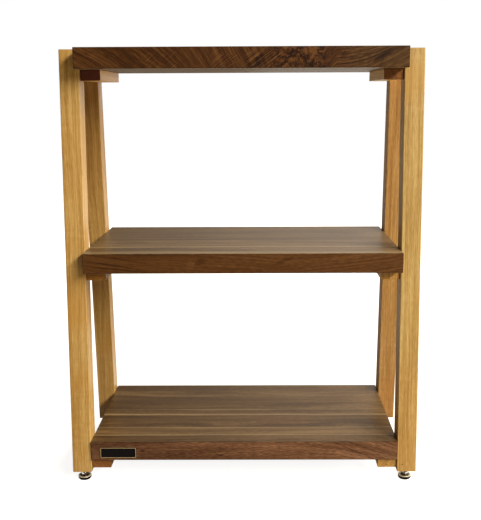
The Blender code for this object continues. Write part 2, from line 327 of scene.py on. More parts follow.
def join(x, y, z):
    """A place from three numbers."""
    return field(x.tree, "ShaderNodeCombineXYZ", 0, {"X": x, "Y": y, "Z": z})


def noise(x, y, z, detail=2.0, roughness=0.5):
    """Noise at a place made of three numbers that already hold their scales."""
    inputs = {"Vector": join(x, y, z), "Scale": 1.0, "Detail": detail, "Roughness": roughness}
    return field(x.tree, "ShaderNodeTexNoise", "Fac", inputs)


def cloud(place, scale, detail):
    """Noise that is the same in all directions."""
    inputs = {"Vector": place, "Scale": scale, "Detail": detail}
    return field(place.tree, "ShaderNodeTexNoise", "Fac", inputs)


def mark(place, name):
    """A mark of the piece's own, by its name."""
    return field(place.tree, "ShaderNodeAttribute", "Fac", attribute_name=name)


def blend(amount, first, second, mode="MIX"):
    """Mix two colours, fields or plain ones, by amount."""
    inputs = {0: amount, 6: first, 7: second}
    return field(tree_of(amount, first), "ShaderNodeMix", 2, inputs, data_type="RGBA", blend_type=mode)


def ramp(value, places, colours):
    """Colour ramp with a colour at each place."""
    result = field(value.tree, "ShaderNodeValToRGB", "Color", {"Fac": value})
    elements = result.socket.node.color_ramp.elements
    while len(elements) < len(places):
        elements.new(1.0)
    for element, place, colour in zip(elements, places, colours):
        element.position = place
        element.color = (*colour, 1.0)
    return result


def relief(height, strength, distance):
    """Normal of a surface that is roughened by a height."""
    inputs = {"Height": height, "Strength": strength, "Distance": distance}
    return field(height.tree, "ShaderNodeBump", "Normal", inputs)


print("helpers", [tool.__name__ for tool in (split, join, noise, cloud, mark, blend, ramp, relief)])

# %% [markdown]
# A group is a tree of its own with named inputs and outputs, so that an effect is
# built once and used in many places. A material is a tree with a shader at its end.

# %% Groups and materials
def new_group(name, inputs, outputs):
    """Empty shader group with named sockets, and its inputs as fields."""
    tree = bpy.data.node_groups.new(name, "ShaderNodeTree")
    for direction, sockets in (("INPUT", inputs), ("OUTPUT", outputs)):
        for label, kind in sockets.items():
            tree.interface.new_socket(label, in_out=direction, socket_type=kind)
    source = tree.nodes.new("NodeGroupInput")
    return tree, {label: Field(tree, source.outputs[label]) for label in inputs}


def use_group(group, inputs):
    """Place a group beside its inputs, and give its outputs by name."""
    tree = tree_of(*inputs.values())
    node = field(tree, "ShaderNodeGroup", 0, inputs, node_tree=group).socket.node
    return {socket.name: Field(tree, socket) for socket in node.outputs}


def new_material(name):
    """Material with a Principled shader, the place on its piece as a field, and the shader."""
    material = bpy.data.materials.new(name)
    material.use_nodes = True
    place = field(material.node_tree, "ShaderNodeTexCoord", "Object")
    return material, place, material.node_tree.nodes["Principled BSDF"]


print("nodes of Blender", bpy.app.version_string)

# %% [markdown]
# ## Timber, once for all boards
#
# A plank is cut from a tree, so its figure is a solid pattern: growth lines run
# along the board, drift with the tree's shape and show as dots on the end grain.
# A picture wrapped round the board would break at every edge. This group works
# in three directions instead: along the grain, outwards through the growth rings
# and across. It puts out slow colour bands, growth lines, short fibres and fine
# open pores.

# %% Timber figure group
FLOAT = "NodeSocketFloat"
COLOUR = "NodeSocketColor"
FIGURE_INPUTS = ("Along", "Growth", "Across", "Seed", "Line Spacing", "Band Width", "Fibre Length",
                 "Fibre Width", "Pore Width")
FIGURE_OUTPUTS = ("Bands", "Lines", "Fibres", "Pores")


def build_figure():
    """Four noises that are long along the grain and short across it, from slow bands to fine pores."""
    group, given = new_group("timber_figure", dict.fromkeys(FIGURE_INPUTS, FLOAT),
                             dict.fromkeys(FIGURE_OUTPUTS, FLOAT))
    along, growth, across, seed, spacing, band, length, fibre, pore = given.values()
    bands = noise(along * 2.2, growth / band, seed, 3.0, 0.55)
    lines = noise(along * 4.5, growth / spacing, seed + 13.7, 4.0, 0.62)
    run = along / length
    fibres = noise(run, growth / fibre, across / fibre + seed, 3.0, 0.6)
    pores = noise(run, growth / pore, across / pore - seed, 1.0)
    fill(group.nodes.new("NodeGroupOutput"), {
        "Bands": bands, "Lines": lines.remap(0.32, 0.68), "Fibres": fibres.remap(0.30, 0.70),
        "Pores": pores.remap(0.60, 0.72)})
    return group


def timber_figure(along, growth, across, seed, sizes):
    """Bands, lines, fibres and pores of a timber of these sizes, in metres."""
    values = (along, growth, across, seed, *sizes)
    return use_group(figure_group, dict(zip(FIGURE_INPUTS, values))).values()


figure_group = build_figure()
print("timber figure gives", FIGURE_OUTPUTS)

# %% [markdown]
# ## Worn and shaded edges
#
# Where hands and sandpaper reach first, the edge of a pale board is worn paler.
# On the walnut the edges are darker, which is painted shade. The boards carry an
# edge mark of their own, so the effect needs no guess at curvature: the mark is
# broken up with noise and mixes the edge's colour in.

# %% Edge wear group
def build_edge_wear_and_shade():
    """Mix towards the edge colour where the edge mark is strong and the noise allows."""
    inputs = {"Colour": COLOUR, "Edge": FLOAT, "Amount": FLOAT, "Edge Colour": COLOUR,
              "Place": "NodeSocketVector"}
    group, given = new_group("edge_wear_and_shade", inputs, {"Colour": COLOUR})
    worn = given["Edge"] * given["Amount"] * cloud(given["Place"], 60.0, 3.0).remap(0.3, 0.7)
    worn_colour = blend(worn, given["Colour"], given["Edge Colour"])
    fill(group.nodes.new("NodeGroupOutput"), {"Colour": worn_colour})
    return group


def worn_and_shaded_edges(colour, place, amount, edge_colour):
    """A board's colour with its edge colour mixed in: wear on the pale timber, painted shade on the walnut.
    """
    inputs = {"Colour": colour, "Edge": mark(place, "edge"), "Amount": amount, "Edge Colour": edge_colour,
              "Place": place}
    return use_group(edge_wear_and_shade_group, inputs)["Colour"]


edge_wear_and_shade_group = build_edge_wear_and_shade()
print("groups", [group.name for group in bpy.data.node_groups])

# %% [markdown]
# ## Walnut shelves
#
# Each shelf is a butcher block: walnut staves about as wide as the shelf is thick,
# glued edge to edge, each from another part of the tree. So every stave has its
# own tone and growth direction, and here and there a streak of pale sapwood runs
# beside a glue line. Each stave could be a board of its own. One board is simpler,
# with numbers that jump at every glue line to tell its staves apart.

# %% Staves and sapwood
# Staves from the front edge to the back: width in metres and tone, 0 dark to 1 pale
STAVES = {
    "bottom": ((0.035, 0.48), (0.0385, 0.65), (0.0325, 0.40), (0.032, 0.44), (0.034, 0.50),
               (0.038, 0.42), (0.038, 0.52), (0.038, 0.62), (0.039, 0.46)),
    "middle": ((0.033, 0.52), (0.037, 0.46), (0.040, 0.52), (0.038, 0.48), (0.038, 0.42),
               (0.036, 0.52), (0.034, 0.48), (0.036, 0.54), (0.033, 0.46)),
    "top": ((0.036, 0.50), (0.038, 0.36), (0.034, 0.34), (0.037, 0.48), (0.035, 0.62),
            (0.038, 0.66), (0.036, 0.50), (0.035, 0.36), (0.036, 0.40)),
}
# Sapwood streaks on the wide faces: distance from the front edge, half width, strength
SAPWOOD = {
    "bottom": ((0.0352, 0.0026, 0.80), (0.0735, 0.0018, 0.55), (0.1430, 0.0052, 0.55),
               (0.1722, 0.0022, 0.60)),
    "middle": ((0.0100, 0.0180, 0.60), (0.0720, 0.0060, 0.70)),
    "top": ((0.0160, 0.0180, 0.70), (0.0740, 0.0020, 0.45), (0.1450, 0.0060, 0.60), (0.2200, 0.0018, 0.40)),
}
SAPWOOD_WAVE = 0.006


def stave_steps(depth, level):
    """Numbers that change at each glue line: the stave's tone, its number, and the distance to the line."""
    widths, tones = zip(*STAVES[level])
    tone, stave, nearest = tones[0], 0.0, 1.0
    for line, before, after in zip(np.cumsum(widths).tolist(), tones, tones[1:]):
        past = depth > line
        tone = past * (after - before) + tone
        stave = past + stave
        nearest = abs(depth - line).math("MINIMUM", nearest)
    return tone, stave, nearest


def sapwood_streaks(from_front, level):
    """The strongest of the streaks beside glue lines."""
    sap = 0.0
    for centre, reach, strength in SAPWOOD[level]:
        sap = (from_front.near(centre + SAPWOOD_WAVE / 2, reach) * strength).math("MAXIMUM", sap)
    return sap


print({level: round(sum(width for width, tone in staves), 4) for level, staves in STAVES.items()})

# %% [markdown]
# The front stave is the one that shows, and on each shelf its grain flows another
# way: feathered and then swirling on the top one, calm on the middle one, fine and
# straight on the bottom one. The flow is a curve: where it climbs, lines that would
# lie level run downhill.

# %% Flow of the front stave
# Distance from the left end, and drop of the lines there, in metres
FLOW = {
    "bottom": ((0.0, 0.0), (0.10, 0.004), (0.44, 0.000), (0.52, 0.010), (0.61, 0.032)),
    "middle": ((0.0, 0.0), (0.14, 0.018), (0.30, 0.026), (0.46, 0.024), (0.61, 0.008)),
    "top": ((0.0, 0.0), (0.13, 0.085), (0.21, 0.150), (0.30, 0.290), (0.40, 0.440), (0.47, 0.470),
            (0.61, 0.430)),
}


def flow_curve(from_left, width, level):
    """Drop of the front stave's lines at a distance from the left end."""
    drop = max(fall for along, fall in FLOW[level])
    curve = field(from_left.tree, "ShaderNodeFloatCurve", 0, {"Value": from_left / width})
    mapping = curve.socket.node.mapping
    points = mapping.curves[0].points
    while len(points) < len(FLOW[level]):
        points.new(0.5, 0.5)
    for point, (along, fall) in zip(points, FLOW[level]):
        point.location = (along / width, fall / drop)
    mapping.update()
    return curve * drop


print("points of flow", {level: len(points) for level, points in FLOW.items()})

# %% [markdown]
# Some marks are too plain to leave to chance: a pin knot, a mineral streak, a dark
# growth line that runs out at the edge. Each is a soft ellipse on the front face,
# with its rim roughened by noise.

# %% Marks on the front
# Distance from the left end, height over the middle, slope in degrees, half length, half thickness,
# and change of tone
MARKS = {
    "bottom": ((0.1030, 0.001, 0, 0.006, 0.0026, -0.30), (0.2550, -0.008, -6, 0.012, 0.0020, -0.22),
               (0.5150, 0.004, -24, 0.070, 0.0016, -0.20), (0.5300, 0.012, -20, 0.070, 0.0016, -0.16)),
    "middle": ((0.0650, -0.004, -9, 0.070, 0.0016, -0.20), (0.0900, 0.006, -10, 0.060, 0.0016, -0.14),
               (0.0750, -0.012, -6, 0.075, 0.0018, -0.20), (0.2260, 0.004, 20, 0.014, 0.0080, -0.14),
               (0.2060, -0.002, 70, 0.016, 0.0080, 0.10),
               (0.3850, 0.006, 20, 0.024, 0.0042, -0.14), (0.5750, -0.011, 8, 0.045, 0.0018, -0.24)),
    "top": ((0.5620, 0.002, 33, 0.024, 0.0050, -0.22), (0.4900, 0.006, 62, 0.012, 0.0014, -0.20)),
}


def mark_shade(from_left, upward, rough_rim, level):
    """Sum of the marks: each is its change of tone times a mask of its turned ellipse."""
    total = 0.0
    for centre, height, slope, length, thickness, change in MARKS[level]:
        cosine, sine = math.cos(math.radians(slope)), math.sin(math.radians(slope))
        right, up = from_left - centre, upward - height
        long_way = right * (cosine / length) + up * (sine / length)
        short_way = up * (cosine / thickness) - right * (sine / thickness)
        mask = (long_way * long_way + short_way * short_way + rough_rim).remap(1.2, 0.1)
        total = mask * change + total
    return total


print("marks", {level: len(marks) for level, marks in MARKS.items()})

# %% [markdown]
# The front stave of the top shelf was cut beside a fork of the tree. There the
# lines are crossed by strokes that lean the other way, like a feather, and then
# break up into burl: lumps of amber timber with dark curls between them.

# %% Feather and burl of the top shelf
# Feathered stretches: distance of the middle from the left end, half length, strength
FEATHER = ((0.143, 0.016, 0.50), (0.177, 0.014, 0.60), (0.278, 0.030, 0.80), (0.352, 0.046, 1.40))
FEATHER_TOP = 0.013
STROKE_SLOPE = 0.74
STROKE_WIDTH = 0.0021
BURL_CENTRE = 0.412
BURL_REACH = 0.068
LUMP_SCALE = 58.0
LUMP_BEND = 0.034


def feather_shade(from_left, upward, eddy):
    """Bright strokes along lines of upward = slope * from_left, between dark ones, where it is feathered."""
    crossing = upward - from_left * STROKE_SLOPE
    strokes = noise(from_left * 14.0, crossing / STROKE_WIDTH, 4.0, 3.0)
    strokes = strokes.remap(0.46, 0.62) * 0.80 - 0.30
    amount = 0.0
    for centre, reach, strength in FEATHER:
        amount = from_left.near(centre, reach) * strength + amount
    amount = amount * upward.remap(FEATHER_TOP, 0.0, 0.25, 1.0) * eddy.remap(0.36, 0.56, 0.25, 1.0)
    return strokes * amount


def eddies(axes, scale, detail):
    """Round noise, the same in all directions."""
    return noise(*(axis * scale for axis in axes), detail, 0.62)


def burl_lumps(axes, eddy):
    """Round lumps with thin dark curls between them: cells with bent walls, most of the walls drawn."""
    x, y, z = axes
    bent = join(x + eddy * LUMP_BEND, y, z + eddies(axes, 71.0, 4.0) * LUMP_BEND)
    to_wall = field(x.tree, "ShaderNodeTexVoronoi", "Distance", {"Vector": bent, "Scale": LUMP_SCALE},
                    feature="DISTANCE_TO_EDGE")
    curls = to_wall.remap(0.01, 0.09, -0.66, 0.06)
    blots = eddies(axes, 88.0, 5.0) - 0.53
    return blots * 1.9 + curls * blots.remap(-0.09, 0.05, 1.0, 0.15)


print("burl from", round(BURL_CENTRE - BURL_REACH, 3), "to", round(BURL_CENTRE + BURL_REACH, 3), "m")

# %% [markdown]
# Walnut is a red brown that differs from board to board. The front of each shelf
# and its wide faces have ramps of their own, from dark through middle to pale
# heartwood. The wide faces are paler and more olive: partly their own tone, partly
# painted sheen. Beyond the burl, the top shelf's front is calm and has an olive tint.

# %% Colours of the walnut
# Dark, middle and pale heartwood of each shelf's front, and of the wide faces, paler and more olive partly
# with painted sheen
HEARTWOOD = {
    "bottom": ((0.060, 0.0210, 0.0080), (0.165, 0.0690, 0.0280), (0.360, 0.1720, 0.0800)),
    "middle": ((0.032, 0.0100, 0.0020), (0.095, 0.0335, 0.0060), (0.190, 0.0780, 0.0220)),
    "top": ((0.017, 0.0050, 0.0008), (0.064, 0.0205, 0.0033), (0.150, 0.0600, 0.0150)),
}
WIDE_TONE_AND_SHEEN = {
    "bottom": ((0.056, 0.0265, 0.0076), (0.119, 0.0600, 0.0174), (0.230, 0.1310, 0.0470)),
    "middle": ((0.088, 0.0495, 0.0172), (0.165, 0.0940, 0.0345), (0.272, 0.1680, 0.0710)),
    "top": ((0.100, 0.0460, 0.0140), (0.190, 0.0980, 0.0340), (0.310, 0.1800, 0.0740)),
}
TONE_STOPS = (0.15, 0.50, 0.85)
CONTRAST = {"bottom": 0.80, "middle": 0.60, "top": 1.05}
WIDE_CONTRAST = {"bottom": 1.00, "middle": 0.90, "top": 0.90}
FIBRE_CONTRAST = {"bottom": 0.36, "middle": 0.24, "top": 0.40}
# Painted light: how much lighter the fronts and the wide faces grow towards the right
FRONT_PAINTED_LIGHT = {"bottom": 0.18, "middle": 0.10, "top": 0.0}
WIDE_PAINTED_LIGHT = 0.23
SAPWOOD_COLOUR = (0.40, 0.265, 0.115)
GLUE_COLOUR = (0.020, 0.010, 0.005)
WALNUT_PORES = (0.018, 0.008, 0.004)
# Painted shade along the walnut's arrises
PAINTED_EDGE_SHADE = (0.030, 0.0115, 0.0035)
AMBER = (0.160, 0.058, 0.014)
OLIVE_TINT = (1.10, 1.36, 1.65)
OLIVE_FROM = 0.465
OLIVE_FULL = 0.525
print("middle heartwood", {level: colours[1] for level, colours in HEARTWOOD.items()})

# %% [markdown]
# The walnut itself puts these together. Growth is a number whose level lines are
# the growth lines: it rises through the stave, wanders slowly along it and takes
# the flow of the front stave on top. Tone, bands, lines and fibres add up to a
# shade, and a ramp of three heartwoods turns the shade into a colour.

# %% Walnut material
# Line spacing, band width, length and width of fibres, and width of pores
WALNUT_SIZES = (0.0042, 0.020, 0.013, 0.0011, 0.00042)
WALNUT_DRIFT = 0.045
WALNUT_PORE_DEPTH = 0.55
# How strongly the painted shade darkens the walnut's edges
WALNUT_EDGE_SHADE = 0.90
SLANT = 0.75
SLANT_SPREAD = 0.55
EDDY_SCALE = 48.0
BURL_SWIRL = 0.100
GLUE_LINE = 0.00035
GLUE_STRENGTH = 0.45
RELIEF_DEPTH = 0.0002


def walnut_material(level):
    """Solid walnut staves of one shelf, oiled to a low sheen."""
    low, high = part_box(f"shelf_{level}")
    width = high[0] - low[0]
    material, place, shader = new_material(f"walnut_{level}_shelf")
    axes = split(place)
    from_left, from_front = axes[0] - low[0], axes[1] - low[1]
    upward = axes[2] - (low[2] + high[2]) / 2
    tone, stave, to_line = stave_steps(from_front, level)
    front_only = stave < 0.5
    shelf_seed = 10.0 * LEVELS.index(level)
    seed = stave * 3.17 + shelf_seed

    # Growth direction of the stave, its slow drift along the board, and the front stave's flow
    slant = (stave * 2.4 + shelf_seed).math("SINE") * SLANT_SPREAD + SLANT
    wander = noise(axes[0] * 2.6, from_front * 9.0, upward * 9.0 + seed)
    growth = from_front * slant + upward + wander * WALNUT_DRIFT
    growth = growth + flow_curve(from_left, width, level) * front_only
    eddy = eddies(axes, EDDY_SCALE, 3.0)
    marks = mark_shade(from_left, upward, eddy * 2.0 - 1.0, level)
    if level == "top":
        swirl = from_left.near(BURL_CENTRE, BURL_REACH) * front_only
        growth = growth + eddy * swirl * BURL_SWIRL
        marks = marks + feather_shade(from_left, upward, eddy) + burl_lumps(axes, eddy) * swirl
    bands, lines, fibres, pores = timber_figure(axes[0], growth, from_front, seed, WALNUT_SIZES)

    # The front face has the marks, and on the top shelf the olive stretch and the amber of the burl
    grain = lines * 0.30 + bands - 0.65
    plain = (fibres - 0.5) * FIBRE_CONTRAST[level] + tone * 0.7 + 0.15
    # to_right carries painted light that grows towards the right
    to_right = axes[0] / width
    shade = plain + to_right * FRONT_PAINTED_LIGHT[level] + grain * CONTRAST[level] + marks * front_only
    front = ramp(shade, TONE_STOPS, HEARTWOOD[level])
    if level == "top":
        calm = from_left.remap(OLIVE_FROM, OLIVE_FULL) * front_only
        front = blend(calm, front, OLIVE_TINT, "MULTIPLY")
        front = blend(shade.remap(0.42, 0.95, 0.0, 0.75) * swirl, front, AMBER)

    # The wide faces have no marks, and their colours hold painted sheen. Sapwood shows there beside some
    # glue lines
    # Painted light here too: lighter towards the right
    shade = plain + to_right * WIDE_PAINTED_LIGHT + grain * WIDE_CONTRAST[level]
    sap = sapwood_streaks(wander * SAPWOOD_WAVE + from_front, level) * bands.remap(0.25, 0.6, 0.45, 1.0)
    top = blend(sap, ramp(shade, TONE_STOPS, WIDE_TONE_AND_SHEEN[level]), SAPWOOD_COLOUR)
    colour = blend(mark(place, "wide").remap(0.5, 0.95), front, top)

    # Glue lines, open pores, and painted shade along the edges
    colour = blend(to_line.remap(GLUE_LINE * 1.6, GLUE_LINE * 0.5, 0.0, GLUE_STRENGTH), colour, GLUE_COLOUR)
    colour = blend(pores * WALNUT_PORE_DEPTH, colour, WALNUT_PORES)
    fill(shader, {
        "Base Color": worn_and_shaded_edges(colour, place, WALNUT_EDGE_SHADE, PAINTED_EDGE_SHADE),
        "Roughness": bands * 0.10 + pores * 0.15 + 0.44,
        "Normal": relief(lines * 0.12 - pores, 0.25, RELIEF_DEPTH), "IOR": 1.45, "Specular IOR Level": 0.10,
        "Coat Weight": 0.35, "Coat IOR": 1.3, "Coat Roughness": 0.30})
    return material


walnut = {level: walnut_material(level) for level in LEVELS}
print({level: len(material.node_tree.nodes) for level, material in walnut.items()}, "nodes")

# %% [markdown]
# Each shelf is one eased board, laid down with its length along X. It is shown in
# place of the shelf's solid, whose edges are coarser.

# %% Build the shelves
SHELF_EASE = 0.0014


def build_shelf(level):
    """Board along X: its own (across, deep, along) are the world's Y, Z and X."""
    low, high = (np.array(corner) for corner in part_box(f"shelf_{level}"))
    size = high - low
    rings, normals, marks = eased_board(size[1], size[2], size[0], SHELF_EASE)
    middle = np.array(((low[1] + high[1]) / 2, (low[2] + high[2]) / 2, low[0]))
    rings = turn_axes(rings + middle, ("y", "z", "x"))
    normals = turn_axes(normals, ("y", "z", "x"))
    return make_piece(f"{level}_shelf_board", rings, walnut[level], "rack",
                      f"shelf_{level}", normals, marks)


shelves = [build_shelf(level) for level in LEVELS]
print("shelves", [shelf.name for shelf in shelves])

# %% [markdown]
# ## Pale legs and cleats
#
# The legs are a light, close-grained hardwood under oil, which has turned it
# honey gold. The grain follows the lean of the leg, so the pattern is sheared
# with it. No two boards are alike: the back right leg is redder, and the front
# left one has a honey patch. The front right leg is paler higher up, which is
# painted light, and the back left one is darker at its top, which is painted
# shade. The cleats have tints of their own; those of the top level are paler,
# which is painted light. Their ends are end grain, which soaks up more oil; their
# tints are mostly darker, and on the middle and top levels they are painted shade.

# %% Differences between boards
LEG_DEPTH = 0.0425
leg_low, leg_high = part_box("leg_front_left")
LEG_HEIGHT = leg_high[2] - leg_low[2]
LEG_LEAN = (leg_high[1] - leg_low[1] - LEG_DEPTH) / LEG_HEIGHT
REDDER_BOARD = (0.85, 0.78, 0.79)
# Painted light: the front right leg paler higher up
PAINTED_LIGHT_HIGHER_UP = (0.98, 1.09, 1.22)
# Painted shade: the back left leg darker at its top
PAINTED_SHADE_AT_TOP = (0.80, 0.73, 0.62)
# Honey patch of the front left leg: height of its middle and half its length
HONEY_PATCH = (0.372, 0.075)
# Tints of the right and the left cleat of each level, those of the top level painted light, and of their end
# grain
CLEAT_TINTS_AND_PAINTED_LIGHT = {
    "bottom": ((1.00, 1.00, 1.00), (0.82, 0.74, 0.66)),
    "middle": ((1.00, 1.00, 1.00), (0.82, 0.74, 0.66)),
    "top": ((1.60, 1.86, 2.25), (1.78, 1.76, 1.70)),
}
# End grain tints: on the middle and top levels they are painted shade
END_GRAIN_AND_PAINTED_SHADE = {
    "bottom": ((1.06, 1.00, 0.92), (0.61, 0.45, 0.39)),
    "middle": ((0.84, 0.74, 0.52), (0.78, 0.64, 0.22)),
    "top": ((0.25, 0.125, 0.010), (0.12, 0.035, 0.004)),
}
END_GRAIN_DEPTH = 0.0015
# Pin knots on front faces, by the direction of the grain: their X and Z
PIN_KNOT = {"Z": (0.3154, 0.0372), "Y": (0.2860, 0.0336)}


def board_axes(x, y, z, grain):
    """Numbers along, across and through a board, and a seed of its own.

    The grain runs along Z on the leaning legs, Y on the cleats and X on the dowels.
    """
    side, end = x.math("SIGN"), y.math("SIGN")
    if grain == "Z":
        return z, x, z * (end * LEG_LEAN) + y, side * 4.3 + end * 9.1
    seed = side * 4.3 + (z * 5.0).math("ROUND")
    return (y, x, z, seed) if grain == "Y" else (x, y, z, seed)


def leg_tints(colour, left, front, height):
    """Colour of the leg boards: each tint where its leg is, over its stretch of height. The paler tint is
    painted light and the darker one painted shade.
    """
    right, back = 1.0 - left, 1.0 - front
    colour = blend(right * back, colour, REDDER_BOARD, "MULTIPLY")
    colour = blend(right * front * height.remap(0.05, 0.45), colour, PAINTED_LIGHT_HIGHER_UP, "MULTIPLY")
    return blend(left * back * height.remap(0.45, 0.75), colour, PAINTED_SHADE_AT_TOP, "MULTIPLY")


def cleat_tints(colour, left, y, level):
    """Colour of a level's cleats: their side's tint, painted light on the top level, and within a little of
    both ends the end grain's tint, painted shade on the middle and top levels.
    """
    low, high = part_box(f"cleat_{level}_left")
    half = (high[1] - low[1]) / 2
    off_middle = abs(y - (low[1] + high[1]) / 2)
    at_end = off_middle.remap(half - END_GRAIN_DEPTH, half - END_GRAIN_DEPTH / 2)
    colour = blend(1.0, colour, blend(left, *CLEAT_TINTS_AND_PAINTED_LIGHT[level]), "MULTIPLY")
    return blend(at_end, colour, blend(left, *END_GRAIN_AND_PAINTED_SHADE[level]), "MULTIPLY")


def pin_knot(x, z, grain):
    """1 within a small round spot."""
    beside, above = x - PIN_KNOT[grain][0], z - PIN_KNOT[grain][1]
    return (beside * beside + above * above).math("SQRT").remap(0.0018, 0.0006)


print("legs lean", round(math.degrees(math.atan(LEG_LEAN)), 2), "degrees")

# %% [markdown]
# The hardwood uses the same figure as the walnut, with closer lines and finer
# pores. Two things are its own: curl, which is a faint ripple across the grain
# here and there, and amber patches, where the oil has gone in deeper.

# %% Pale hardwood material
# The same five sizes as the walnut's
PALE_SIZES = (0.0036, 0.016, 0.016, 0.0008, 0.0006)
PALE = ((0.330, 0.150, 0.026), (0.510, 0.272, 0.062), (0.680, 0.420, 0.135))
PALE_AMBER = (0.490, 0.225, 0.030)
PALE_PORES = (0.22, 0.100, 0.025)
PALE_EDGE = (0.74, 0.50, 0.22)
KNOT_COLOUR = (0.05, 0.022, 0.008)
PORE_DEPTH = 0.25
REDDER_PORE_DEPTH = 0.70
PALE_DRIFT = 0.030
PALE_EDGE_WEAR = 0.45
CURL_LENGTH = 0.0075


def pale_timber(name, grain, level=None):
    """Pale hardwood with its grain along Z on the legs, Y on a level's cleats or X on the dowels."""
    material, place, shader = new_material(name)
    x, y, z = split(place)
    left, front = x < 0.0, y < 0.0
    along, across, deep, seed = board_axes(x, y, z, grain)
    wander = noise(along * 2.2, across * 11.0, deep * 11.0 + seed)
    growth = deep * (seed.math("SINE") * 0.8) + across + wander * PALE_DRIFT
    bands, lines, fibres, pores = timber_figure(along, growth, deep, seed, PALE_SIZES)

    # Curl and amber come in the same patches
    ripple = noise(along / CURL_LENGTH, across * 28.0, deep * 28.0 + seed, 1.0)
    patch = noise(along * 7.0, across * 9.0, deep * 9.0 + (seed + 5.0))
    curl = (ripple - 0.5) * patch.remap(0.40, 0.62)
    shade = lines * 0.36 + bands * 0.8 - 0.08 + (fibres - 0.5) * 0.30 + curl * 0.20
    amber = patch.remap(0.56, 0.74, 0.0, 0.55)
    if grain == "Z":
        honey = left * front * along.near(*HONEY_PATCH) * wander.remap(0.35, 0.60, 0.2, 0.8)
        amber = amber.math("MAXIMUM", honey)
    colour = blend(amber, ramp(shade, TONE_STOPS, PALE), PALE_AMBER)

    # Tints of the boards, among them painted light and painted shade, then pores, which are deepest on the
    # redder leg, and the knot
    pore_depth = PORE_DEPTH
    if grain == "Z":
        colour = leg_tints(colour, left, front, along)
        pore_depth = (1.0 - left) * (1.0 - front) * (REDDER_PORE_DEPTH - PORE_DEPTH) + PORE_DEPTH
    if grain == "Y":
        colour = cleat_tints(colour, left, y, level)
    colour = blend(pores * pore_depth, colour, PALE_PORES)
    if grain in PIN_KNOT:
        colour = blend(pin_knot(x, z, grain) * front, colour, KNOT_COLOUR)
    fill(shader, {
        "Base Color": worn_and_shaded_edges(colour, place, PALE_EDGE_WEAR, PALE_EDGE), "Roughness": bands * 0.12 + 0.46,
        "Normal": relief(lines * 0.15 - pores * 0.6, 0.2, RELIEF_DEPTH), "IOR": 1.45,
        "Specular IOR Level": 0.15, "Coat Weight": 0.50, "Coat Roughness": 0.32})
    return material


leg_timber = pale_timber("pale_leg_timber", "Z")
cleat_timber = {level: pale_timber(f"pale_{level}_cleats", "Y", level) for level in LEVELS}
dowel_timber = pale_timber("pale_dowel_timber", "X")
print(len(leg_timber.node_tree.nodes), "nodes in the legs' timber")

# %% [markdown]
# The foot of each leg is bored for a threaded sleeve: the rings start inside that
# bore, come down its wall, cross the foot and go up the sides. Cleats and dowels
# are plain bars, so their solids stay and only take the timber.

# %% Build the legs
LEG_EASE = 0.0016
BORE_CHAMFER = 0.0006
BORE_DEPTH = 0.0362
FIT_GAP = 0.0003


def circle(points, start=0.0):
    """Points of a circle of radius 1, and their angles."""
    angle = 2 * np.pi * (np.arange(points) + start) / points
    return np.stack((np.cos(angle), np.sin(angle)), axis=-1), angle


def bore_rings(points, radius):
    """Rings from the blind end of an upright bore down to its chamfered mouth, and their normals."""
    outwards = circle(points, 0.5)[0]
    radii = np.array((radius, radius, radius + BORE_CHAMFER))
    rings = lift(radii[:, None, None] * outwards, np.array((BORE_DEPTH, BORE_CHAMFER, 0.0)))
    inwards = np.pad(-outwards, ((0, 0), (0, 1)))
    down = np.broadcast_to((0.0, 0.0, -1.0), inwards.shape)
    return rings, np.stack((inwards, inwards, down))


def build_leg(side, end):
    """Leaning board: each ring moves along Y by lean times its height, and the normals follow."""
    node = f"leg_{end}_{side}"
    low, high = (np.array(corner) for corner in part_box(node))
    way = ENDS[end]
    rings, normals, marks = eased_board(high[0] - low[0], LEG_DEPTH, LEG_HEIGHT, LEG_EASE)
    rings[..., 1] -= way * LEG_LEAN * rings[..., 2]
    normals[..., 2] += way * LEG_LEAN * normals[..., 1]
    normals /= np.linalg.norm(normals, axis=-1, keepdims=True)
    sleeve_low, sleeve_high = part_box(f"foot_insert_{end}_{side}")
    radius = (sleeve_high[0] - sleeve_low[0]) / 2 + FIT_GAP
    bore, bore_normals = bore_rings(rings.shape[1], radius)
    foot_y = high[1] - LEG_DEPTH / 2 if way > 0 else low[1] + LEG_DEPTH / 2
    foot = np.array(((low[0] + high[0]) / 2, foot_y, low[2]))
    edge = np.concatenate((np.zeros(bore.shape[:2]), marks["edge"]))
    return make_piece(f"{end}_{side}_leg_board", np.concatenate((bore, rings)) + foot, leg_timber, "rack",
                      node, np.concatenate((bore_normals, normals)), {"edge": edge})


def finish_node(node, material):
    """Give a CAD node that stays as it is a material of this scene."""
    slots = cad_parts[node].data.materials
    slots.clear()
    slots.append(material)


legs = [build_leg(side, end) for side in SIDES for end in ENDS]
for level in LEVELS:
    for side in SIDES:
        finish_node(f"cleat_{level}_{side}", cleat_timber[level])
        for end in ENDS:
            finish_node(f"dowel_{level}_{side}_{end}", dowel_timber)
print("legs", [leg.name for leg in legs])

# %% [markdown]
# ## Levelling feet
#
# A foot is a stack of turned pieces: a black base on the floor, a plated flange
# with a rolled rim and a dome, and a threaded stud with a hexagon collar that
# screws into a sleeve in the leg. The plate's colours are painted reflections:
# dark overall, with a pale dull band on the rim as a painted highlight and a
# bright upper dome as a painted reflection. Turned shapes are an outline carried
# round an axis, and a thread is the same with a radius that also depends on the
# angle.

# %% Turned shapes and metals
SHADED = 0.72
# Painted reflections on the plated dome: a bright colour on its upper part, and a pale dull painted
# highlight on its rim
DOME_REFLECTION_COLOUR = (0.88, 0.84, 0.70)
RIM_HIGHLIGHT_COLOUR = (0.80, 0.66, 0.44)
RIM_HIGHLIGHT_ROUGHNESS = 0.35
RIM_HIGHLIGHT_METALLIC = 0.3


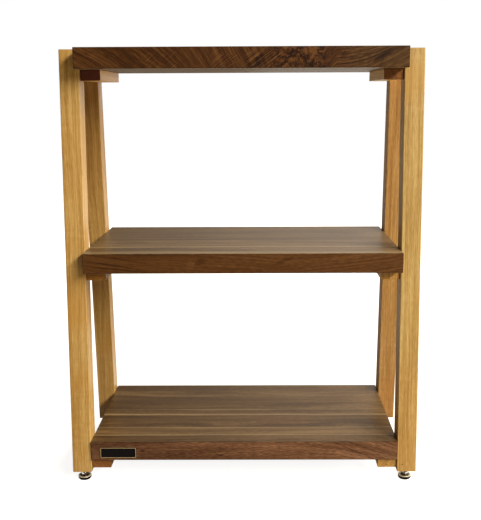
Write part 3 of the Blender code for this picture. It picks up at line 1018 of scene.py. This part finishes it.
def carried_round(outline, points=64):
    """Rings of an outline of (radius, height) pairs, turned about an upright axis."""
    radius, height = np.asarray(outline, dtype=float).T
    return lift(radius[:, None, None] * circle(points)[0], height)


def arc(centre, radius, start, stop, points=8):
    """Points of an arc in the (radius, height) plane, angles in degrees, 0 pointing outwards."""
    angle = np.radians(np.linspace(start, stop, points))
    return np.stack((centre[0] + radius * np.cos(angle), centre[1] + radius * np.sin(angle)), axis=-1)


def scratch_material(name, colour, roughness, metallic, scale, depth, marked=False):
    """Metal or rubber with a fine uneven polish.

    If marked, it takes a painted bright reflection where the piece's bright mark is 1, and a pale, dull
    painted highlight where its rim mark is 1.
    """
    material, place, shader = new_material(name)
    uneven = cloud(place, scale, 4.0)
    tint = ramp(uneven, (0.30, 0.70), (tuple(SHADED * value for value in colour), colour))
    polish = uneven * roughness + roughness * 0.55
    if marked:
        satin = mark(place, "satin")
        tint = blend(satin, blend(mark(place, "bright"), tint, DOME_REFLECTION_COLOUR), RIM_HIGHLIGHT_COLOUR)
        polish = satin * RIM_HIGHLIGHT_ROUGHNESS + polish
        metallic = satin * (RIM_HIGHLIGHT_METALLIC - metallic) + metallic
    stretched = field(place.tree, "ShaderNodeMapping", 0, {"Vector": place, "Scale": (1.0, 1.0, 9.0)})
    fill(shader, {
        "Base Color": tint, "Metallic": metallic, "Roughness": polish, "Specular IOR Level": 0.15,
        "Normal": relief(cloud(stretched, scale * 9, 2.0), depth, 0.0001)})
    return material


# The plate's dark colour is a painted dark reflection
nickel = scratch_material("nickel_painted_reflections", (0.10, 0.09, 0.075), 0.04, 1.0, 180.0, 0.01, marked=True)
black_base = scratch_material("black_foot_base", (0.009, 0.008, 0.008), 0.55, 0.0, 400.0, 0.30)
zinc = scratch_material("zinc_plate", (0.60, 0.60, 0.58), 0.30, 1.0, 300.0, 0.12)
sleeve_brass = scratch_material("sleeve_brass", (0.58, 0.41, 0.16), 0.32, 1.0, 300.0, 0.12)
print("metals", [material.name for material in (nickel, zinc, sleeve_brass)])

# %% [markdown]
# Outlines start inside and go round to the outside, so that the faces look out. The
# base has rings cut into its underside, so that it grips, and the dome is hollow
# for the stud and the button on which it swivels.

# %% Base and dome of a foot
BASE_LIP = 0.0008
BASE_FLARE = 0.0024
TREAD_DEPTH = 0.0006
TREAD_POINTS = 18
FLANGE = 0.0020
DOME_RADIUS = 0.0064
DOME_TOP_RADIUS = 0.0046
DOME_FILLET = 0.0015
STUD_RADIUS = 0.003175
BUTTON_RADIUS = 0.0043
BUTTON_HEIGHT = 0.0024


def base_outline(low, high):
    """Black base: treaded underside, flared wall, rounded lip and a flat top."""
    radius, bottom, top = (high[0] - low[0]) / 2, low[2], high[2]
    tread = np.linspace(0.12, 0.80, TREAD_POINTS) * radius
    dip = bottom + TREAD_DEPTH * (np.arange(TREAD_POINTS) // 2 % 2)
    wall = np.array(((radius * 0.84, bottom), (radius * 0.985, bottom + BASE_FLARE)))
    lip = arc((radius - BASE_LIP, top - BASE_LIP), BASE_LIP, 0, 90)
    return np.concatenate((np.stack((tread, dip), axis=-1), wall, lip, ((radius * 0.1, top),)))


def dome_outline(low, high):
    """Plated flange with a rolled rim, then a fillet and a dome, hollow for the stud and its button."""
    radius, bottom, top = (high[0] - low[0]) / 2, low[2], high[2]
    rim = arc((radius - FLANGE / 2, bottom + FLANGE / 2), FLANGE / 2, -90, 90, 12)
    level = bottom + FLANGE
    fillet = arc((DOME_RADIUS + DOME_FILLET, level + DOME_FILLET), DOME_FILLET, 270, 180)
    swell = np.radians(np.linspace(6, 90, 14))
    dome = np.stack((
        DOME_TOP_RADIUS + (DOME_RADIUS - DOME_TOP_RADIUS) * np.cos(swell),
        level + DOME_FILLET + (top - level - DOME_FILLET) * np.sin(swell)), axis=-1)
    throat, pocket = STUD_RADIUS + FIT_GAP, BUTTON_RADIUS + FIT_GAP
    roof = bottom + BUTTON_HEIGHT + 2 * FIT_GAP
    hollow = np.array(((throat, top), (throat, roof), (pocket, roof)))
    return np.concatenate((((pocket, bottom),), rim, fillet, dome, hollow))


print("throat of the dome", round(2000 * (STUD_RADIUS + FIT_GAP), 2), "mm")

# %% [markdown]
# A real thread is cut or rolled. Here each ring of the stud is a little higher than
# the last and a little further round the wave. The collar is for a spanner, and the
# sleeve in the leg takes the thread.

# %% Stud and sleeve of a foot
THREAD_PITCH = 0.00127
THREAD_DEPTH = 0.00045
THREAD_CHAMFER = 0.0009
THREAD_END = 0.0008
THREAD_RINGS = 240
COLLAR_FLAT = 0.0050
COLLAR_HEIGHT = 0.0036
COLLAR_RINGS = 9
SLEEVE_CHAMFER = 0.0007
SLEEVE_EASE = 0.0004


def stud_rings(low, high, collar_low, points=48):
    """Stud with a helical thread above a hexagon collar.

    Thread: the radius dips by a triangle wave of height / pitch - angle / turn.
    Collar: the radius is the hexagon's, cut by a cone at both faces.
    """
    around, angle = circle(points)
    collar_high = collar_low + COLLAR_HEIGHT
    button_top = low[2] + BUTTON_HEIGHT
    plain = carried_round(((BUTTON_RADIUS, low[2]), (BUTTON_RADIUS, button_top), (STUD_RADIUS, button_top),
                           (STUD_RADIUS, collar_low)), points)
    sixth = np.pi / 3
    hexagon = COLLAR_FLAT / np.cos(angle % sixth - sixth / 2)
    heights = np.linspace(collar_low, collar_high, COLLAR_RINGS)
    cone = COLLAR_FLAT * 1.02 + 1.7 * np.minimum(heights - collar_low, collar_high - heights)
    collar = np.minimum(hexagon[None, :], cone[:, None])
    rise = np.linspace(collar_high, high[2] - THREAD_END, THREAD_RINGS)
    wave = np.abs((rise[:, None] / THREAD_PITCH - angle[None, :] / (2 * np.pi)) % 1.0 - 0.5) * 2
    reach = np.concatenate((collar, STUD_RADIUS - THREAD_DEPTH * wave))
    worked = lift(reach[..., None] * around, np.concatenate((heights, rise)))
    tip = carried_round(((STUD_RADIUS - THREAD_CHAMFER, high[2]),), points)
    return np.concatenate((plain, worked, tip))


def sleeve_outline(low, high):
    """Half of a sleeve's section, from the bore's top down, round the foot and up outside."""
    radius, bottom, top = (high[0] - low[0]) / 2, low[2], high[2]
    bore = STUD_RADIUS + FIT_GAP
    return np.array(((bore, top - FIT_GAP), (bore, bottom + SLEEVE_CHAMFER), (bore + SLEEVE_CHAMFER, bottom),
                     (radius - SLEEVE_EASE, bottom), (radius, bottom + SLEEVE_EASE), (radius, top)))


print("thread of", round(0.0254 / THREAD_PITCH), "turns to the inch")

# %% [markdown]
# When a foot is screwed out, its base and dome travel down, the stud travels and
# turns, and the sleeve stays in the leg. So these ride on three different bodies.

# %% Build the feet
# Height over the flange from which the dome takes its painted reflection
DOME_REFLECTION_FROM = 0.0035


def axis_of(node):
    """Middle of a turned CAD node, on the floor."""
    low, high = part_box(node)
    return np.array(((low[0] + high[0]) / 2, (low[1] + high[1]) / 2, 0.0))


def build_foot(side, end):
    """Base, dome, stud and sleeve of one foot."""
    name = f"{end}_{side}"
    spot = axis_of(f"foot_pad_{name}")
    pad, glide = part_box(f"foot_pad_{name}"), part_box(f"foot_glide_{name}")
    stud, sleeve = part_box(f"foot_stud_{name}"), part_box(f"foot_insert_{name}")
    foot, turning = f"foot_{name}", f"stud_{name}"
    make_piece(f"{name}_foot_base", carried_round(base_outline(*pad)) + spot, black_base, foot,
               f"foot_pad_{name}")
    dome = carried_round(dome_outline(*glide)) + spot
    reach = np.linalg.norm((dome - spot)[..., :2], axis=-1)
    # Masks of the painted highlight on the rim and of the painted reflection on the upper dome
    rim = np.where(reach > (glide[1][0] - glide[0][0]) / 2 - FLANGE, 1.0, 0.0)
    dome_reflection_mask = np.where(dome[..., 2] > glide[0][2] + FLANGE + DOME_REFLECTION_FROM, 1.0, 0.0)
    make_piece(f"{name}_foot_dome", dome, nickel, foot, f"foot_glide_{name}",
               marks={"satin": rim, "bright": dome_reflection_mask}, hollow=True)
    make_piece(f"{name}_foot_stud", stud_rings(*stud, glide[1][2] + FIT_GAP) + spot, zinc, turning,
               f"foot_stud_{name}", smooth_angle=30)
    make_piece(f"{name}_leg_sleeve", carried_round(sleeve_outline(*sleeve)) + spot, sleeve_brass, "rack",
               f"foot_insert_{name}", hollow=True)


for side in SIDES:
    for end in ENDS:
        build_foot(side, end)
print("feet at", axis_of("foot_pad_front_left").round(4).tolist())

# %% [markdown]
# ## Screws
#
# Countersunk screws come up through the cleats into the shelves. Only their heads
# show, from below: a flat disc with a six-lobed socket, whose wall is a circle
# that swells six times in a turn.

# %% Build the screws
SOCKET_RADIUS = 0.0019
SOCKET_SWELL = 0.00028
SOCKET_DEPTH = 0.0016
HEAD_EASE = 0.0002
HEAD_RIM = 0.0006
HEAD_HEIGHT = 0.0030
SHANK_RADIUS = 0.0024
POINT_LENGTH = 0.006
POINT_RADIUS = 0.0003


def screw_rings(head_radius, length, points=48):
    """Socket floor, lobed wall, flat face, countersunk cone, shank and point, head at 0."""
    around, angle = circle(points)
    lobed = SOCKET_RADIUS + SOCKET_SWELL * np.cos(6 * angle)
    rings = carried_round((
        (SOCKET_RADIUS, SOCKET_DEPTH), (SOCKET_RADIUS, 0.0), (head_radius - HEAD_EASE, 0.0),
        (head_radius, HEAD_EASE), (head_radius, HEAD_RIM), (SHANK_RADIUS, HEAD_HEIGHT),
        (SHANK_RADIUS, length - POINT_LENGTH), (POINT_RADIUS, length)), points)
    rings[:2, :, :2] = lobed[:, None] * around
    return rings


def build_screw(level, side, end):
    """Upright screw, head down."""
    node = f"shelf_screw_{level}_{side}_{end}"
    low, high = (np.array(corner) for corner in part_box(node))
    size, middle = high - low, (low + high) / 2
    head = np.array((middle[0], middle[1], low[2]))
    return make_piece(f"{node}_fine", screw_rings(size[0] / 2, size[2]) + head, zinc, "rack", node)


screws = [build_screw(level, side, end) for level in LEVELS for side in SIDES for end in ENDS]
print(len(screws), "screws")

# %% [markdown]
# ## The badge plate
#
# A small black plate sits low on the bottom shelf's front edge. It carries no
# words here: a gilt line frames a plain black field. The line is really raised,
# so the plate is an outline that steps in, up, down and in again.

# %% Build the badge plate
BADGE_LINE = 0.0011
BADGE_MARGIN = 0.0006
BADGE_CORNER = 0.0026
BADGE_EASE = 0.0002
LINE_EASE = 0.0001
LINE_HEIGHT = 0.00025
ENAMEL = ((0.005, 0.004, 0.004), (0.012, 0.010, 0.009))
GILT = ((0.56, 0.37, 0.15), (0.78, 0.56, 0.26))


def badge_material():
    """Black enamel with a gilt line where the plate's own mark is 1."""
    material, place, shader = new_material("black_and_gilt_plate")
    uneven = cloud(place, 900.0, 3.0)
    gilt = mark(place, "gilt")
    colour = blend(gilt, ramp(uneven, (0.30, 0.75), ENAMEL), ramp(uneven, (0.30, 0.70), GILT))
    fill(shader, {
        "Base Color": colour, "Metallic": gilt * 0.3, "Roughness": uneven * 0.2 + 0.28,
        "Specular IOR Level": 0.10, "Normal": relief(uneven, 0.1, 0.0001)})
    return material


def build_badge():
    """Rings from the plate's back edge round to its field; its along direction is -Y."""
    low, high = (np.array(corner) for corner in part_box("badge_plate"))
    wide, thick, tall = high - low
    line_in = BADGE_MARGIN + BADGE_LINE
    inset = np.array((BADGE_EASE, 0.0, 0.0, BADGE_EASE, BADGE_MARGIN, BADGE_MARGIN + LINE_EASE,
                      line_in - LINE_EASE, line_in, line_in + BADGE_EASE))[:, None]
    face = thick - LINE_HEIGHT
    height = np.array((0.0, BADGE_EASE, face - BADGE_EASE, face, face, thick, thick, face, face))
    rings = lift(round_outline(wide - 2 * inset, tall - 2 * inset, BADGE_CORNER - inset)[0], height)
    gilt = np.zeros(rings.shape[:2])
    gilt[5:7] = 1.0
    back = np.array(((low[0] + high[0]) / 2, high[1], (low[2] + high[2]) / 2))
    return make_piece("blank_badge_plate", turn_axes(rings, ("x", "z", "-y")) + back, badge_material(),
                      "rack", "badge_plate", marks={"gilt": gilt}, smooth_angle=30)


badge = build_badge()
print("badge", tuple(round(value, 4) for value in badge.dimensions))

# %% [markdown]
# ## Floor, world and lamps
#
# The photograph is a studio cut-out on white. The floor is a wide pale disc that
# still takes a shadow and throws light back up under the shelves. To gloss it
# glows warm far off, less so behind at the left. Nearby, in gloss, it is dark as
# painted shade, but for three painted pools of light: behind the left legs,
# further back at the right, and beside the feet.

# %% Floor in gloss
# Painted pools of light, seen only in gloss: where each starts, is full, still is full and ends, in X and in
# Y, and its brightness
GLOSS_LIGHT_POOLS = (
    ((-99.0, -98.0, -0.16, -0.06), (-0.10, 0.20, 1.1, 1.6), 1.3),
    ((0.0, 0.08, 98.0, 99.0), (1.6, 2.4, 4.5, 7.0), 1.1),
    ((-0.45, -0.40, -0.345, -0.335), (-0.34, -0.28, 0.28, 0.34), 1.0),
    ((0.335, 0.345, 0.40, 0.45), (-0.34, -0.28, 0.28, 0.34), 1.0),
)
FLOOR_GLOSS = 0.60
FLOOR_GLOSS_FROM = 2.0
FLOOR_GLOSS_TO = 6.0
FLOOR_LEFT_LOSS = 0.20


def eye_and_gloss(tree):
    """Two masks: camera and glass rays, and mirror rays."""
    path = tree.nodes.new("ShaderNodeLightPath").outputs
    kinds = ("Camera", "Transmission", "Glossy")
    eye, glass, gloss = (Field(tree, path[f"Is {kind} Ray"]) for kind in kinds)
    return eye.math("MAXIMUM", glass), gloss


def mirrored_floor(place, distance):
    """The floor's brightness in gloss, with its painted pools of light, and a mask of the pools."""
    x, y = split(place)[:2]
    lit = 0.0
    for across, back, brightness in GLOSS_LIGHT_POOLS:
        lit = (x.within(*across) * y.within(*back) * brightness).math("MAXIMUM", lit)
    behind_left = x.remap(-0.06, -0.16) * y.remap(0.2, 0.5)
    far = FLOOR_GLOSS - behind_left * FLOOR_LEFT_LOSS
    far = far * distance.remap(FLOOR_GLOSS_FROM, FLOOR_GLOSS_TO)
    return far.math("MAXIMUM", lit), lit.remap(0.0, 0.5)


print(len(GLOSS_LIGHT_POOLS), "lit stretches, with one beside the feet at each side")

# %% [markdown]
# To the camera the floor glows white, a little less near the rack, where a shadow
# has to show. The light that it throws back comes from its matt colour alone, so
# it lights the rack no more than a real floor would.

# %% Build the floor
FLOOR_RADIUS = 40.0
FLOOR_POINTS = 96
FLOOR_COLOUR = (0.56, 0.50, 0.40)
# The floor's matt colour as gloss sees it, darker: painted shade in its reflections
FLOOR_MIRRORED = (0.13, 0.12, 0.10)
FLOOR_NEAR_GLOW = 0.88
FLOOR_NEAR = 0.5
FLOOR_FAR = 1.5
FLOOR_TINT = (1.0, 0.84, 0.60)
WALL_TINT = (1.0, 0.97, 0.92)
WHITE = (1.0, 1.0, 1.0)


def floor_material():
    """Matt and a glow: white to the eye, the mirrored floor to gloss, and none for other rays."""
    material, place, shader = new_material("pale_floor")
    tree = place.tree
    tree.nodes.remove(shader)
    eye, gloss = eye_and_gloss(tree)
    distance = field(tree, "ShaderNodeVectorMath", "Value", {0: place}, operation="LENGTH")
    mirrored, lit = mirrored_floor(place, distance)
    white = distance.remap(FLOOR_NEAR, FLOOR_FAR, FLOOR_NEAR_GLOW, 1.0)
    tint = blend(gloss, WHITE, blend(lit, FLOOR_TINT, WALL_TINT))
    glow = field(tree, "ShaderNodeEmission", 0, {"Color": tint, "Strength": eye * white + gloss * mirrored})
    matt = field(tree, "ShaderNodeBsdfDiffuse", 0, {"Color": blend(gloss, FLOOR_COLOUR, FLOOR_MIRRORED)})
    both = field(tree, "ShaderNodeAddShader", 0, {0: matt, 1: glow})
    fill(tree.nodes["Material Output"], {"Surface": both})
    return material


def build_floor():
    """Flat disc as one ring of points, far wider than the view."""
    rim = np.pad(circle(FLOOR_POINTS)[0], ((0, 0), (0, 1))) * FLOOR_RADIUS
    mesh = bpy.data.meshes.new("floor")
    mesh.from_pydata(rim.tolist(), [], [list(range(FLOOR_POINTS))])
    mesh.materials.append(floor_material())
    floor = bpy.data.objects.new("floor", mesh)
    bpy.context.scene.collection.objects.link(floor)
    return floor


print("floor", [round(value, 1) for value in build_floor().dimensions])

# %% [markdown]
# The world is white to the camera. Gloss sees a warm white wall behind and to the
# right, another at the far left and a dim room in front. To everything else the
# world is a weak warm fill.

# %% World
FILL_LIGHT = 0.035
FILL_TINT = (1.0, 0.80, 0.48)
LEFT_WALL = 1.0
DIM_ROOM = 0.05


def build_world():
    """White to the eye, two walls and a dim room to gloss, a weak fill to the rest."""
    world = bpy.data.worlds.new("studio")
    world.use_nodes = True
    tree = world.node_tree
    x, y = split(field(tree, "ShaderNodeTexCoord", "Generated"))[:2]
    right_wall = x.remap(-0.36, 0.26) * y.remap(-0.3, 0.3)
    left_wall = x.remap(-0.60, -0.90, DIM_ROOM, LEFT_WALL)
    eye, gloss = eye_and_gloss(tree)
    rest = 1.0 - eye.math("MAXIMUM", gloss)
    fill(tree.nodes["Background"], {
        "Color": blend(gloss, blend(rest, WHITE, FILL_TINT), WALL_TINT),
        "Strength": gloss * right_wall.math("MAXIMUM", left_wall) + rest * FILL_LIGHT + eye})
    bpy.context.scene.world = world
    return world


print("world", build_world().name)

# %% [markdown]
# A long soft lamp stands to the front right and leans over, so shelf ends throw a
# shade on the left legs that fades downwards. A second one, at the right, lights
# the faces that look that way, and a weak one behind brings out the shelf tops.
# Only the first shows in gloss.

# %% Lamps
LAMP_TARGET = np.array((0.0, 0.0, 0.45))


def add_lamp(name, azimuth, elevation, distance, wide, tall, lean, watts, mirrored):
    """Soft lamp aimed at the rack's middle; azimuth 0 is in front and 90 to the right.

    Its top leans by an angle towards the growing azimuth. A lamp that isn't mirrored gives its light but
    doesn't show in gloss.
    """
    turn, rise = math.radians(azimuth), math.radians(elevation)
    back = np.array((math.sin(turn) * math.cos(rise), -math.cos(turn) * math.cos(rise), math.sin(rise)))
    right = np.array((math.cos(turn), math.sin(turn), 0.0))
    turned = Matrix(np.stack((right, np.cross(back, right), back), axis=1).tolist()).to_4x4()
    turned = turned @ Matrix.Rotation(-math.radians(lean), 4, "Z")
    light = bpy.data.lights.new(name, "AREA")
    light.shape = "RECTANGLE"
    light.size = wide
    light.size_y = tall
    light.energy = watts
    lamp = bpy.data.objects.new(name, light)
    lamp.matrix_world = Matrix.Translation((LAMP_TARGET + distance * back).tolist()) @ turned
    lamp.visible_glossy = mirrored
    bpy.context.scene.collection.objects.link(lamp)
    print(name, watts, "W at", (LAMP_TARGET + distance * back).round(2).tolist())


add_lamp("key_lamp", 45.5, 32.0, 6.0, 1.00, 5.6, 58.0, 505.0, mirrored=True)
add_lamp("side_lamp", 108.0, 16.0, 6.0, 3.0, 2.2, 0.0, 240.0, mirrored=False)
add_lamp("back_lamp", 168.0, 20.0, 3.2, 1.8, 1.8, 0.0, 52.0, mirrored=False)
bpy.context.scene.view_settings.view_transform = "Standard"

# %% [markdown]
